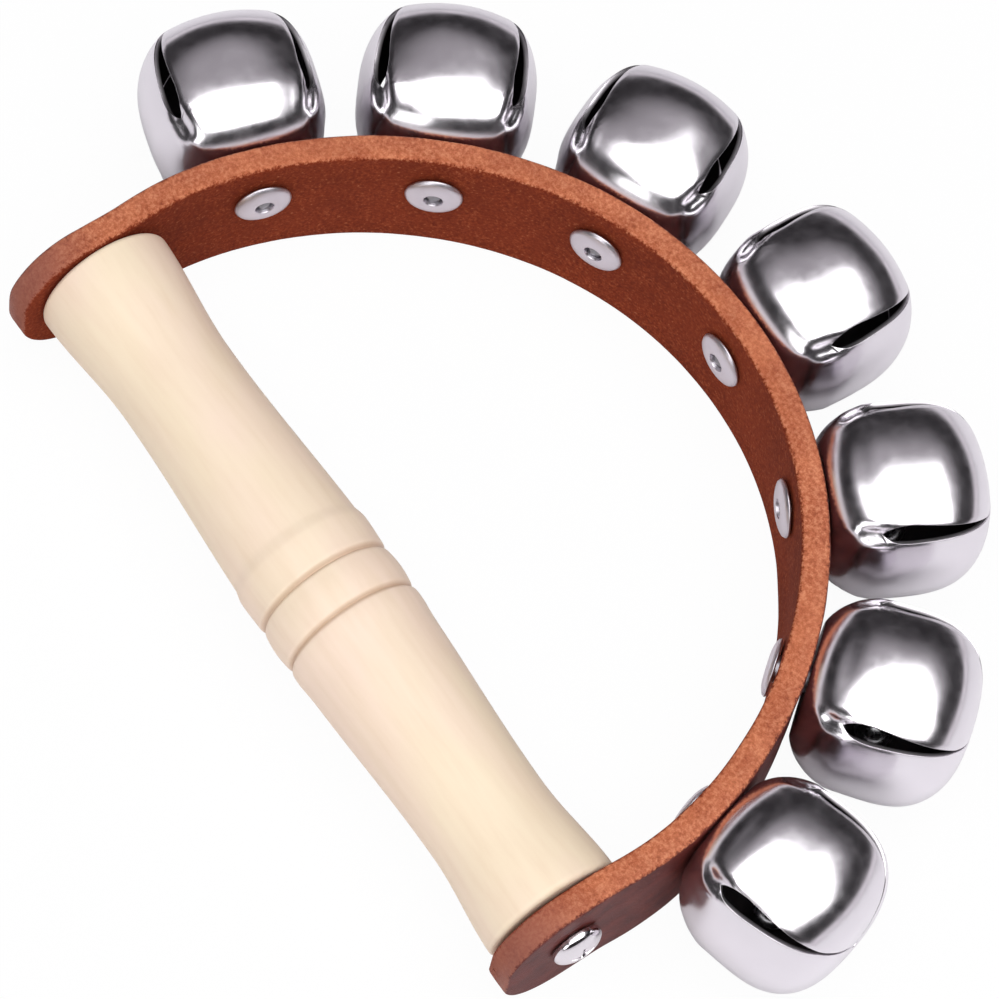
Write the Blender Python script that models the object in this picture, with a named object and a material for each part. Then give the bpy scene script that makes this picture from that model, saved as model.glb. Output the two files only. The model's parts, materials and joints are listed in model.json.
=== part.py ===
# Half-moon hand shaker: seven pressed jingle bells are riveted round a bent leather strap,
# and the strap's two ends are screwed to a turned wooden handle. It lies on the strap's edge.
# Units are metres, the handle runs along X, the bells point away along +Y, and Z is up.

import math

import bmesh
import bpy
from mathutils import Matrix, Vector

# Clearance left between pieces that touch
TOUCH_GAP = 0.0003
MERGE_DISTANCE = 0.000001

# Turned handle
HANDLE_LENGTH = 0.1200
HANDLE_RISE = 0.0019
HANDLE_SLANT_DEG = 1.0
HANDLE_END_RADIUS = 0.0109
HANDLE_EDGE_ROUNDING = 0.0010
LEFT_WAIST_RADIUS = 0.0094
LEFT_WAIST_OFFSET = 0.0390
RIGHT_WAIST_RADIUS = 0.0096
RIGHT_WAIST_OFFSET = 0.0430
BELLY_RADIUS = 0.0108
BEAD_STEP_OFFSET = -0.0062
BEAD_STEP_HEIGHT = 0.0004
BEAD_STEP_LENGTH = 0.0008
FIRST_GROOVE_OFFSET = 0.0006
SECOND_GROOVE_OFFSET = 0.0079
GROOVE_DEPTH = 0.0005
GROOVE_HALF_WIDTH = 0.0009
HANDLE_SEGMENTS = 24
HANDLE_CORNER_STEPS = 3
HANDLE_RUN_STEPS = 8

# Leather strap: its centre line is three arcs on each side of the crown, a small return arc
# where the screw draws it in, and a straight tongue across the handle's end
STRAP_WIDTH = 0.0240
STRAP_THICKNESS = 0.0043
STRAP_EDGE_CHAMFER = 0.0004
CROWN_ANGLE_DEG = 35.0
SHOULDER_RADIUS = 0.0671
SHOULDER_END_DEG = 76.0
SIDE_RADIUS = 0.0553
LEAN_DEG = 4.0
RETURN_RADIUS = 0.0500
SEAT_RUN = 0.0040
TONGUE_LENGTH = 0.0128
TONGUE_CORNER_RADIUS = 0.0112
STRAP_STATION_STEP = 0.0048
TONGUE_CORNER_STEPS = 6
HOLE_SEGMENTS = 14

# Row of rivets and bells
BELL_COUNT = 7
RIVET_SPACING = 0.02745
RIVET_ROW_SHIFT = 0.0021
RIVET_ROW_RISE = 0.0030
BELL_TWISTS_DEG = (0.0, 0.0, 0.0, 0.0, 0.0, 0.0, 0.0)

# Pressed bell: four petals folded up from one blank
BELL_HALF_WIDTH = 0.01375
BELL_HALF_HEIGHT = 0.01328
BELL_CENTRE_HEIGHT = 0.01190
BELL_WALL = 0.0008
BELL_SQUARENESS = 3.2
BELL_BARREL = 2.6
SLIT_START_HEIGHT = 0.0070
SLIT_WIDTH = 0.0030
SLIT_TIP_WIDTH = 0.0008
SLIT_NARROWS_AT = 0.88
PETAL_TIP_RADIUS = 0.0032
PETAL_COLUMNS = 5
BELL_PROFILE_ROWS = 9

# Loose pellet
PELLET_RADIUS = 0.0030
PELLET_SEGMENTS = 12
PELLET_RINGS = 8

# Tubular rivet and the pin left in it
FLANGE_RADIUS = 0.0045
FLANGE_THICKNESS = 0.0012
FLANGE_RIM = 0.0004
FLANGE_LAND_RADIUS = 0.0028
SHANK_RADIUS = 0.0021
RIVET_BORE_RADIUS = 0.00145
BULB_RADIUS = 0.0029
BULB_HEIGHT = 0.0022
BULB_SIDE_HEIGHT = 0.0012
PIN_RADIUS = 0.00110
PIN_RECESS = 0.0005
PIN_HEAD_RADIUS = 0.0020
PIN_HEAD_HEIGHT = 0.0014
RIVET_SEGMENTS = 14
PIN_SEGMENTS = 10

# Handle screws
SCREW_HEAD_RADIUS = 0.0041
SCREW_HEAD_HEIGHT = 0.0024
SCREW_HEAD_RIM = 0.0005
SCREW_SHANK_RADIUS = 0.0019
SCREW_DEPTH = 0.0200
SCREW_POINT = 0.0040
RECESS_LENGTH = 0.0046
RECESS_WIDTH = 0.0010
RECESS_DEPTH = 0.0013
SCREW_SEGMENTS = 20
SCREW_DOME_STEPS = 4


# Sizes that follow from the ones above

slant = math.radians(HANDLE_SLANT_DEG)
handle_seat_gap = TOUCH_GAP + HANDLE_END_RADIUS * math.sin(slant)
leg_offset = HANDLE_LENGTH / 2 + handle_seat_gap + STRAP_THICKNESS / 2
crown_angle = math.radians(CROWN_ANGLE_DEG)
shoulder_end = math.radians(SHOULDER_END_DEG)
lean = math.radians(LEAN_DEG)
side_end = math.pi / 2 + lean
crown_radius = (
    leg_offset
    - SHOULDER_RADIUS * (math.sin(shoulder_end) - math.sin(crown_angle))
    - SIDE_RADIUS * (math.sin(side_end) - math.sin(shoulder_end))
    + RETURN_RADIUS * (1 - math.cos(lean))
) / math.sin(crown_angle)
crown_height = (
    SEAT_RUN
    + crown_radius * (1 - math.cos(crown_angle))
    + SHOULDER_RADIUS * (math.cos(crown_angle) - math.cos(shoulder_end))
    + SIDE_RADIUS * (math.cos(shoulder_end) - math.cos(side_end))
    + RETURN_RADIUS * math.sin(lean)
)
flange_seat = TOUCH_GAP + FLANGE_RADIUS**2 / (2 * (crown_radius - STRAP_THICKNESS / 2))
bell_base_offset = STRAP_THICKNESS / 2 + TOUCH_GAP
screw_seat = leg_offset + STRAP_THICKNESS / 2 + TOUCH_GAP + SCREW_HEAD_RADIUS * math.sin(slant)


def strap_arcs():
    """Length and signed radius of each stretch from the crown to the tongue's tip."""
    straight = SEAT_RUN + TONGUE_LENGTH
    return (
        (crown_radius * crown_angle, crown_radius),
        (SHOULDER_RADIUS * (shoulder_end - crown_angle), SHOULDER_RADIUS),
        (SIDE_RADIUS * (side_end - shoulder_end), SIDE_RADIUS),
        (RETURN_RADIUS * lean, -RETURN_RADIUS),
        (straight, None),
    )


def strap_half_length():
    return sum(length for length, _ in strap_arcs())


def on_strap(distance):
    """Point and heading on the centre line, distance being measured from the crown."""
    side = math.copysign(1.0, distance)
    left = abs(distance)
    x, y, heading = 0.0, crown_height, 0.0
    for length, radius in strap_arcs():
        step = min(left, length)
        if radius is None:
            x += step * math.cos(heading)
            y -= step * math.sin(heading)
        else:
            turned_to = heading + step / radius
            x += radius * (math.sin(turned_to) - math.sin(heading))
            y += radius * (math.cos(turned_to) - math.cos(heading))
            heading = turned_to
        left -= step
        if left <= 0:
            break
    return side * x, y, side * heading


def clear_scene():
    for item in list(bpy.data.objects):
        bpy.data.objects.remove(item, do_unlink=True)


def material(name, colour, roughness, metallic):
    made = bpy.data.materials.new(name)
    made.use_nodes = True
    shader = made.node_tree.nodes["Principled BSDF"]
    shader.inputs["Base Color"].default_value = (*colour, 1.0)
    shader.inputs["Roughness"].default_value = roughness
    shader.inputs["Metallic"].default_value = metallic
    return made


def empty(name, parent, placement):
    made = bpy.data.objects.new(name, None)
    made.empty_display_size = 0.005
    bpy.context.scene.collection.objects.link(made)
    made.parent = parent
    made.matrix_local = placement
    return made


def add_object(name, mesh, look, parent, placement=Matrix.Identity(4)):
    made = bpy.data.objects.new(name, mesh)
    bpy.context.scene.collection.objects.link(made)
    made.parent = parent
    made.matrix_local = placement
    if look is not None:
        mesh.materials.clear()
        mesh.materials.append(look)
    return made


def smooth(mesh, angle_deg):
    mesh.shade_smooth()
    mesh.set_sharp_from_angle(angle=math.radians(angle_deg))


def mesh_from(name, shape, sharp_deg=35.0):
    bmesh.ops.recalc_face_normals(shape, faces=shape.faces)
    mesh = bpy.data.meshes.new(name)
    shape.to_mesh(mesh)
    shape.free()
    smooth(mesh, sharp_deg)
    return mesh


def turned(name, profile, segments, ring=False):
    """Spin (radius, height) points about Z; a ring profile closes on itself."""
    shape = bmesh.new()
    points = [shape.verts.new((radius, 0.0, height)) for radius, height in profile]
    edges = [shape.edges.new(pair) for pair in zip(points, points[1:])]
    if ring:
        edges.append(shape.edges.new((points[-1], points[0])))
    bmesh.ops.spin(
        shape,
        geom=points + edges,
        cent=(0.0, 0.0, 0.0),
        axis=(0.0, 0.0, 1.0),
        angle=2 * math.pi,
        steps=segments,
        use_merge=True,
    )
    bmesh.ops.remove_doubles(shape, verts=shape.verts, dist=MERGE_DISTANCE)
    return mesh_from(name, shape)


def rod(shape, radius, start, end, placement):
    """Add a closed cylinder along the placement's Z to an open bmesh."""
    middle = Matrix.Translation((0.0, 0.0, (start + end) / 2))
    bmesh.ops.create_cone(
        shape,
        cap_ends=True,
        segments=HOLE_SEGMENTS,
        radius1=radius,
        radius2=radius,
        depth=end - start,
        matrix=placement @ middle,
    )


def cut(target, cutter):
    cutter.hide_render = True
    cutter.display_type = "WIRE"
    step = target.modifiers.new("cut", "BOOLEAN")
    step.operation = "DIFFERENCE"
    step.solver = "EXACT"
    step.object = cutter


def row_frame(index):
    """Placement on the rivet row: Z out through the strap, Y up, origin on the centre line."""
    middle = (BELL_COUNT - 1) / 2
    x, y, heading = on_strap(RIVET_ROW_SHIFT + (index - middle) * RIVET_SPACING)
    along = Vector((-math.cos(heading), math.sin(heading), 0.0))
    up = Vector((0.0, 0.0, 1.0))
    out = Vector((math.sin(heading), math.cos(heading), 0.0))
    turn = Matrix((along, up, out)).transposed().to_4x4()
    return Matrix.Translation((x, y, RIVET_ROW_RISE)) @ turn


def handle_frame(side):
    """Placement on the handle's axis: Z runs out of the end on the given side."""
    turn = Matrix.Rotation(-slant, 4, "Z") @ Matrix.Rotation(side * math.pi / 2, 4, "Y")
    return Matrix.Translation((0.0, 0.0, HANDLE_RISE)) @ turn


# Handle

def eased(start, end, share):
    return start + (end - start) * (1 - math.cos(math.pi * share)) / 2


def handle_radius(x):
    """Radius of the smooth turned form, before beads and grooves."""
    half = HANDLE_LENGTH / 2
    stations = (
        (-half, HANDLE_END_RADIUS),
        (-LEFT_WAIST_OFFSET, LEFT_WAIST_RADIUS),
        (FIRST_GROOVE_OFFSET, BELLY_RADIUS),
        (SECOND_GROOVE_OFFSET, BELLY_RADIUS),
        (RIGHT_WAIST_OFFSET, RIGHT_WAIST_RADIUS),
        (half, HANDLE_END_RADIUS),
    )
    for (x0, r0), (x1, r1) in zip(stations, stations[1:]):
        if x <= x1:
            return eased(r0, r1, (x - x0) / (x1 - x0))
    return HANDLE_END_RADIUS


def end_corner(end):
    """Rounded corner at one end of the handle, from the end face to the side."""
    side = math.copysign(1.0, end)
    points = []
    for index in range(HANDLE_CORNER_STEPS):
        angle = index / HANDLE_CORNER_STEPS * math.pi / 2
        radius = HANDLE_END_RADIUS - HANDLE_EDGE_ROUNDING * (1 - math.sin(angle))
        points.append((radius, end - side * HANDLE_EDGE_ROUNDING * (1 - math.cos(angle))))
    return points


def smooth_run(start, end):
    """Evenly spaced points on the smooth turned form."""
    places = [start + (end - start) * i / HANDLE_RUN_STEPS for i in range(HANDLE_RUN_STEPS + 1)]
    return [(handle_radius(x), x) for x in places]


def groove(centre):
    """Three points of a cut groove."""
    start, end = centre - GROOVE_HALF_WIDTH, centre + GROOVE_HALF_WIDTH
    bottom = (handle_radius(centre) - GROOVE_DEPTH, centre)
    return [(handle_radius(start), start), bottom, (handle_radius(end), end)]


def handle_profile():
    half = HANDLE_LENGTH / 2
    bore = SCREW_SHANK_RADIUS + TOUCH_GAP
    hole_end = half - SCREW_DEPTH - TOUCH_GAP
    round_end = half - HANDLE_EDGE_ROUNDING
    bead = BEAD_STEP_HEIGHT / 2
    between = (FIRST_GROOVE_OFFSET + SECOND_GROOVE_OFFSET) / 2
    points = [(0.0, -hole_end), (bore, -hole_end), (bore, -half)]
    points += end_corner(-half)
    points += smooth_run(-round_end, BEAD_STEP_OFFSET - BEAD_STEP_LENGTH)
    points.append((handle_radius(BEAD_STEP_OFFSET) + bead, BEAD_STEP_OFFSET))
    points += groove(FIRST_GROOVE_OFFSET)
    points.append((handle_radius(between) + bead, between))
    points += groove(SECOND_GROOVE_OFFSET)
    points += smooth_run(SECOND_GROOVE_OFFSET + 3 * GROOVE_HALF_WIDTH, round_end)
    points += reversed(end_corner(half))
    points += [(bore, half), (bore, hole_end), (0.0, hole_end)]
    return points


def make_handle(root):
    look = material("pale_wood", (0.78, 0.66, 0.50), 0.45, 0.0)
    mesh = turned("handle", handle_profile(), HANDLE_SEGMENTS)
    return add_object("handle", mesh, look, root, handle_frame(1))


# Strap

def strap_half_width(from_tip):
    """Half the strap's width at a distance from the rounded tip of its tongue."""
    if from_tip >= TONGUE_CORNER_RADIUS:
        return STRAP_WIDTH / 2
    drop = TONGUE_CORNER_RADIUS - from_tip
    corner = math.sqrt(TONGUE_CORNER_RADIUS**2 - drop**2)
    return STRAP_WIDTH / 2 - TONGUE_CORNER_RADIUS + corner


def strap_stations():
    end = strap_half_length()
    body_end = end - TONGUE_CORNER_RADIUS
    count = math.ceil(body_end / STRAP_STATION_STEP)
    half = [body_end * index / count for index in range(count + 1)]
    for index in range(1, TONGUE_CORNER_STEPS + 1):
        share = index / TONGUE_CORNER_STEPS
        half.append(body_end + TONGUE_CORNER_RADIUS * math.sin(share * math.pi / 2))
    return [-value for value in reversed(half[1:])] + half


def strap_section(distance):
    x, y, heading = on_strap(distance)
    out = Vector((math.sin(heading), math.cos(heading), 0.0))
    half = strap_half_width(strap_half_length() - abs(distance))
    face = STRAP_THICKNESS / 2
    inset = STRAP_EDGE_CHAMFER
    corners = (
        (-face, inset - half),
        (-face, half - inset),
        (inset - face, half),
        (face - inset, half),
        (face, half - inset),
        (face, inset - half),
        (face - inset, -half),
        (inset - face, -half),
    )
    return [Vector((x, y, 0.0)) + out * depth + Vector((0.0, 0.0, z)) for depth, z in corners]


def strap_hole_mesh():
    """Rods that drill the rivet and screw holes."""
    shape = bmesh.new()
    reach = STRAP_THICKNESS
    for index in range(BELL_COUNT):
        rod(shape, SHANK_RADIUS + TOUCH_GAP, -reach, reach, row_frame(index))
    for side in (-1, 1):
        centre = leg_offset
        rod(
            shape,
            SCREW_SHANK_RADIUS + TOUCH_GAP,
            centre - reach,
            centre + reach,
            handle_frame(side),
        )
    return mesh_from("strap_hole_cutter", shape)


def make_strap(root):
    look = material("brown_leather", (0.22, 0.045, 0.025), 0.55, 0.0)
    shape = bmesh.new()
    rings = [[shape.verts.new(p) for p in strap_section(s)] for s in strap_stations()]
    for ring, following in zip(rings, rings[1:]):
        for index in range(len(ring)):
            after = (index + 1) % len(ring)
            shape.faces.new((ring[index], ring[after], following[after], following[index]))
    shape.faces.new(rings[0])
    shape.faces.new(list(reversed(rings[-1])))
    strap = add_object("strap", mesh_from("strap", shape, 30.0), look, root)
    cut(strap, add_object("strap_hole_cutter", strap_hole_mesh(), None, root))
    return strap


# Bells

def bell_ring(angle):
    """Radius of the bell's side and height above its base at a latitude angle."""
    power = 2 / BELL_BARREL
    across = BELL_HALF_WIDTH * abs(math.cos(angle)) ** power
    rise = math.copysign(abs(math.sin(angle)) ** power, angle)
    return across, BELL_CENTRE_HEIGHT + BELL_HALF_HEIGHT * rise


def bell_base_angle():
    share = BELL_CENTRE_HEIGHT / BELL_HALF_HEIGHT
    return -math.asin(share ** (BELL_BARREL / 2))


def bell_tip_angle():
    share = PETAL_TIP_RADIUS / BELL_HALF_WIDTH
    return math.acos(share ** (BELL_BARREL / 2))


def squared(angle, across):
    """Stretch of a round section towards the bell's rounded square."""
    share = min(1.0, across / BELL_HALF_WIDTH)
    power = 2 + (BELL_SQUARENESS - 2) * share
    total = abs(math.cos(angle)) ** power + abs(math.sin(angle)) ** power
    return total ** (-1 / power)


def slit_half_width(height, across):
    """Half the gap between two petals, zero below the fold and at the petals' tips."""
    top = BELL_CENTRE_HEIGHT + BELL_HALF_HEIGHT
    if height <= SLIT_START_HEIGHT:
        return 0.0
    share = (height - SLIT_START_HEIGHT) / (top - SLIT_START_HEIGHT)
    if share >= SLIT_NARROWS_AT:
        return SLIT_TIP_WIDTH / 2 if across > PETAL_TIP_RADIUS + MERGE_DISTANCE else 0.0
    bow = math.sin(math.pi * share / SLIT_NARROWS_AT)
    return (SLIT_TIP_WIDTH + (SLIT_WIDTH - SLIT_TIP_WIDTH) * bow) / 2


def bell_rows():
    start, end = bell_base_angle(), bell_tip_angle()
    rows = [(SHANK_RADIUS + TOUCH_GAP, 0.0)]
    for index in range(BELL_PROFILE_ROWS):
        rows.append(bell_ring(start + (end - start) * index / (BELL_PROFILE_ROWS - 1)))
    return rows


def bell_mesh():
    """Outer skin of one bell, open at its slits and rivet hole."""
    shape = bmesh.new()
    rows = bell_rows()
    grid = []
    for across, height in rows:
        gap = slit_half_width(height, across)
        row = []
        for petal in range(4):
            middle = petal * math.pi / 2
            stretch = squared(math.pi / 4, across)
            edge = math.pi / 4 - gap / (across * stretch)
            for column in range(PETAL_COLUMNS + 1):
                if column == PETAL_COLUMNS and gap == 0.0:
                    row.append(None)
                    continue
                angle = middle + edge * (2 * column / PETAL_COLUMNS - 1)
                radius = across * squared(angle, across)
                point = (radius * math.cos(angle), radius * math.sin(angle), height)
                row.append(shape.verts.new(point))
        count = len(row)
        row = [row[(i + 1) % count] if v is None else v for i, v in enumerate(row)]
        grid.append(row)
    per_petal = PETAL_COLUMNS + 1
    for lower, upper in zip(grid, grid[1:]):
        for petal in range(4):
            for column in range(PETAL_COLUMNS):
                a = petal * per_petal + column
                shape.faces.new((lower[a], lower[a + 1], upper[a + 1], upper[a]))
    apex = shape.verts.new((0.0, 0.0, BELL_CENTRE_HEIGHT + BELL_HALF_HEIGHT))
    top = grid[-1]
    for petal in range(4):
        for column in range(PETAL_COLUMNS):
            a = petal * per_petal + column
            shape.faces.new((top[a], top[a + 1], apex))
    return mesh_from("bell", shape, 50.0)


def make_bells(root):
    look = material("nickel_plate", (0.80, 0.79, 0.80), 0.08, 1.0)
    mesh = bell_mesh()
    for index, twist in enumerate(BELL_TWISTS_DEG):
        turn = Matrix.Rotation(math.radians(twist), 4, "Z")
        base = Matrix.Translation((0.0, 0.0, bell_base_offset))
        bell = add_object(f"bell_{index + 1}", mesh, look, root, row_frame(index) @ base @ turn)
        wall = bell.modifiers.new("wall", "SOLIDIFY")
        wall.thickness = BELL_WALL
        wall.offset = -1.0
        wall.use_even_offset = True


# Pellets

def make_pellets(root):
    look = material("bright_steel", (0.60, 0.60, 0.61), 0.25, 1.0)
    shape = bmesh.new()
    bmesh.ops.create_uvsphere(
        shape,
        u_segments=PELLET_SEGMENTS,
        v_segments=PELLET_RINGS,
        radius=PELLET_RADIUS,
    )
    mesh = mesh_from("pellet", shape, 60.0)
    orbit = BELL_HALF_WIDTH - BELL_WALL - PELLET_RADIUS - TOUCH_GAP
    for index in range(BELL_COUNT):
        base = Matrix.Translation((0.0, 0.0, bell_base_offset + BELL_CENTRE_HEIGHT))
        pivot = empty(f"pellet_pivot_{index + 1}", root, row_frame(index) @ base)
        rest = Matrix.Translation((0.0, -orbit, 0.0))
        add_object(f"pellet_{index + 1}", mesh, look, pivot, rest)


# Rivets and their pins

def rivet_heights():
    """Underside of the flange, seat of the bulb and blind end, along the rivet."""
    under = -STRAP_THICKNESS / 2 - flange_seat
    seat = bell_base_offset + BELL_WALL + TOUCH_GAP
    return under, seat, seat + BULB_HEIGHT


def make_rivets(root):
    look = material("satin_aluminium", (0.62, 0.60, 0.64), 0.38, 1.0)
    under, seat, blind = rivet_heights()
    face = under - FLANGE_THICKNESS
    profile = (
        (RIVET_BORE_RADIUS, face),
        (FLANGE_LAND_RADIUS, face + FLANGE_RIM / 2),
        (FLANGE_RADIUS, under - FLANGE_RIM),
        (FLANGE_RADIUS, under),
        (SHANK_RADIUS, under),
        (SHANK_RADIUS, seat),
        (BULB_RADIUS, seat),
        (BULB_RADIUS, seat + BULB_SIDE_HEIGHT),
        (SHANK_RADIUS, blind),
        (RIVET_BORE_RADIUS, blind),
    )
    mesh = turned("rivet", profile, RIVET_SEGMENTS, ring=True)
    for index in range(BELL_COUNT):
        add_object(f"rivet_{index + 1}", mesh, look, root, row_frame(index))


def make_pins(root):
    look = material("dark_steel", (0.30, 0.30, 0.31), 0.40, 1.0)
    under, _, blind = rivet_heights()
    start = under - FLANGE_THICKNESS + PIN_RECESS
    head = blind + TOUCH_GAP
    profile = (
        (0.0, start),
        (PIN_RADIUS, start),
        (PIN_RADIUS, head),
        (PIN_HEAD_RADIUS, head),
        (PIN_HEAD_RADIUS, head + PIN_HEAD_HEIGHT / 2),
        (0.0, head + PIN_HEAD_HEIGHT),
    )
    mesh = turned("pin", profile, PIN_SEGMENTS)
    for index in range(BELL_COUNT):
        add_object(f"rivet_pin_{index + 1}", mesh, look, root, row_frame(index))


# Screws

def recess_mesh(top):
    """Cross-shaped prism that sinks the driver recess into a screw's head."""
    long, short = RECESS_LENGTH / 2, RECESS_WIDTH / 2
    quarter = ((long, -short), (long, short), (short, short))
    outline = []
    for turn in range(4):
        spin = Matrix.Rotation(turn * math.pi / 2, 2)
        outline += [spin @ Vector(point) for point in quarter]
    shape = bmesh.new()
    face = shape.faces.new([shape.verts.new((x, y, top - RECESS_DEPTH)) for x, y in outline])
    grown = bmesh.ops.extrude_face_region(shape, geom=[face])
    lifted = [item for item in grown["geom"] if isinstance(item, bmesh.types.BMVert)]
    bmesh.ops.translate(shape, verts=lifted, vec=(0.0, 0.0, 2 * RECESS_DEPTH))
    return mesh_from("screw_recess_cutter", shape)


def make_screws(root):
    look = material("nickel_screw", (0.75, 0.74, 0.76), 0.15, 1.0)
    tip = HANDLE_LENGTH / 2 - SCREW_DEPTH
    under = screw_seat
    dome = under + SCREW_HEAD_RIM
    rise = SCREW_HEAD_HEIGHT - SCREW_HEAD_RIM
    profile = [(0.0, tip), (SCREW_SHANK_RADIUS, tip + SCREW_POINT), (SCREW_SHANK_RADIUS, under)]
    profile += [(SCREW_HEAD_RADIUS, under), (SCREW_HEAD_RADIUS, dome)]
    for index in range(1, SCREW_DOME_STEPS):
        angle = index / SCREW_DOME_STEPS * math.pi / 2
        profile.append((SCREW_HEAD_RADIUS * math.cos(angle), dome + rise * math.sin(angle)))
    profile.append((0.0, dome + rise))
    mesh = turned("screw", profile, SCREW_SEGMENTS)
    top = under + SCREW_HEAD_HEIGHT
    cross = recess_mesh(top)
    for side, word in ((-1, "left"), (1, "right")):
        screw = add_object(f"screw_{word}", mesh, look, root, handle_frame(side))
        cutter = add_object(f"screw_{word}_cutter", cross, None, root, handle_frame(side))
        cut(screw, cutter)


def stand_on_origin(root):
    """Put the middle of the model's footprint at the origin, on its lower edge."""
    bpy.context.view_layer.update()
    low = Vector((math.inf, math.inf, math.inf))
    high = -low
    for item in bpy.data.objects:
        if item.type != "MESH" or item.hide_render:
            continue
        for vertex in item.data.vertices:
            point = item.matrix_world @ vertex.co
            low = Vector(map(min, low, point))
            high = Vector(map(max, high, point))
    root.location = (-(low.x + high.x) / 2, -(low.y + high.y) / 2, -low.z)


def main():
    clear_scene()
    root = empty("shaker", None, Matrix.Identity(4))
    make_handle(root)
    make_strap(root)
    make_bells(root)
    make_pellets(root)
    make_rivets(root)
    make_pins(root)
    make_screws(root)
    stand_on_origin(root)


main()
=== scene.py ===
import json
import math

import bmesh
import bpy
from mathutils import Matrix, Vector, noise

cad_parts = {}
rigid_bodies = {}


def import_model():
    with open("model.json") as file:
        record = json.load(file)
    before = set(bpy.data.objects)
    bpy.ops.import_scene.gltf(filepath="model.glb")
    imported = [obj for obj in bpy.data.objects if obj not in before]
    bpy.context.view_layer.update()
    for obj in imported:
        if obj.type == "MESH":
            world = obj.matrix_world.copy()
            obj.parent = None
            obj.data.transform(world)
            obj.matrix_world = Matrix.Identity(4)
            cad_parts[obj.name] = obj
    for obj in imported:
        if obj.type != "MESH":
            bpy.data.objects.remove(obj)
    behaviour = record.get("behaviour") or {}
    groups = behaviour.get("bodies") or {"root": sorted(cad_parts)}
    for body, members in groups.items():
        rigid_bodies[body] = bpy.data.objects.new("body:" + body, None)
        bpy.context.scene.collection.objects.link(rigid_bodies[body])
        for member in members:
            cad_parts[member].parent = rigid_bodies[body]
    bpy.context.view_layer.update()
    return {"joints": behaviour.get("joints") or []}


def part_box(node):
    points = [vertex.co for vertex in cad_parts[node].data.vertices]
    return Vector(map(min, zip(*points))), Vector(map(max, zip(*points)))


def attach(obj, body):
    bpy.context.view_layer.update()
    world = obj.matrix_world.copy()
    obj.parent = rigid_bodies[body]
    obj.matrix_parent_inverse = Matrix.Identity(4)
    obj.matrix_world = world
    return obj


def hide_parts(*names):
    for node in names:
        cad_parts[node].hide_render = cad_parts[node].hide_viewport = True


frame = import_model()
millimetre = 0.001
touchGap = 0.3 * millimetre


# Small tools that every piece uses

def smoothStep(low, high, value):
    share = min(1.0, max(0.0, (value - low) / (high - low)))
    return share * share * (3 - 2 * share)


def hump(distance, width):
    return math.exp(-((distance / width) ** 2))


def linkObject(name, mesh):
    made = bpy.data.objects.new(name, mesh)
    bpy.context.scene.collection.objects.link(made)
    return made


def finishMesh(name, shape, sharpDegrees=35.0):
    bmesh.ops.recalc_face_normals(shape, faces=shape.faces)
    mesh = bpy.data.meshes.new(name)
    shape.to_mesh(mesh)
    shape.free()
    mesh.shade_smooth()
    mesh.set_sharp_from_angle(angle=math.radians(sharpDegrees))
    return mesh


def latheMesh(name, profile, segments, ring=False, sharpDegrees=35.0):
    # spins (radius, height) points about Z; a ring profile closes on itself
    shape = bmesh.new()
    points = [shape.verts.new((radius, 0.0, height)) for radius, height in profile]
    edges = [shape.edges.new(pair) for pair in zip(points, points[1:])]
    if ring:
        edges.append(shape.edges.new((points[-1], points[0])))
    bmesh.ops.spin(shape, geom=points + edges, cent=(0, 0, 0), axis=(0, 0, 1),
                   angle=2 * math.pi, steps=segments, use_merge=True)
    bmesh.ops.remove_doubles(shape, verts=shape.verts, dist=0.001 * millimetre)
    return finishMesh(name, shape, sharpDegrees)


def settle(made, finish):
    # applies the modifiers and leaves a plain mesh with one finish
    graph = bpy.context.evaluated_depsgraph_get()
    mesh = bpy.data.meshes.new_from_object(made.evaluated_get(graph))
    made.modifiers.clear()
    made.data = mesh
    mesh.materials.clear()
    mesh.materials.append(finish)
    return made


def standFor(made, nodeName, body):
    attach(made, body)
    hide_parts(nodeName)


# Node materials

def newMaterial(name):
    made = bpy.data.materials.new(name)
    made.use_nodes = True
    tree = made.node_tree
    return made, tree, tree.nodes["Principled BSDF"]


def addNode(tree, kind, inputs=None, **settings):
    node = tree.nodes.new(kind)
    for key, value in settings.items():
        setattr(node, key, value)
    for key, value in (inputs or {}).items():
        if isinstance(value, bpy.types.NodeSocket):
            tree.links.new(value, node.inputs[key])
        else:
            node.inputs[key].default_value = value
    return node


def objectPlace(tree, stretch=(1, 1, 1)):
    place = addNode(tree, "ShaderNodeTexCoord")
    mapping = addNode(tree, "ShaderNodeMapping",
                      {"Vector": place.outputs["Object"], "Scale": stretch})
    return mapping.outputs["Vector"]


def noiseField(tree, place, scale, detail=4.0, roughness=0.55):
    node = addNode(tree, "ShaderNodeTexNoise",
                   {"Vector": place, "Scale": scale, "Detail": detail, "Roughness": roughness})
    return node.outputs["Fac"]


def colourRamp(tree, factor, stops):
    node = addNode(tree, "ShaderNodeValToRGB", {"Fac": factor})
    elements = node.color_ramp.elements
    while len(elements) < len(stops):
        elements.new(0.5)
    for element, (position, colour) in zip(elements, stops):
        element.position = position
        element.color = (*colour, 1.0)
    return node.outputs["Color"]


def spread(tree, value, low, high, newLow, newHigh):
    node = addNode(tree, "ShaderNodeMapRange",
                   {"Value": value, "From Min": low, "From Max": high,
                    "To Min": newLow, "To Max": newHigh})
    return node.outputs["Result"]


def maths(tree, operation, first, second):
    node = addNode(tree, "ShaderNodeMath", {0: first, 1: second}, operation=operation)
    return node.outputs[0]


def blendColours(tree, factor, first, second):
    node = addNode(tree, "ShaderNodeMix", data_type="RGBA")
    tree.links.new(factor, node.inputs["Factor"])
    for socket, value in ((node.inputs[6], first), (node.inputs[7], second)):
        if isinstance(value, bpy.types.NodeSocket):
            tree.links.new(value, socket)
        else:
            socket.default_value = (*value, 1.0)
    return node.outputs[2]


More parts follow.
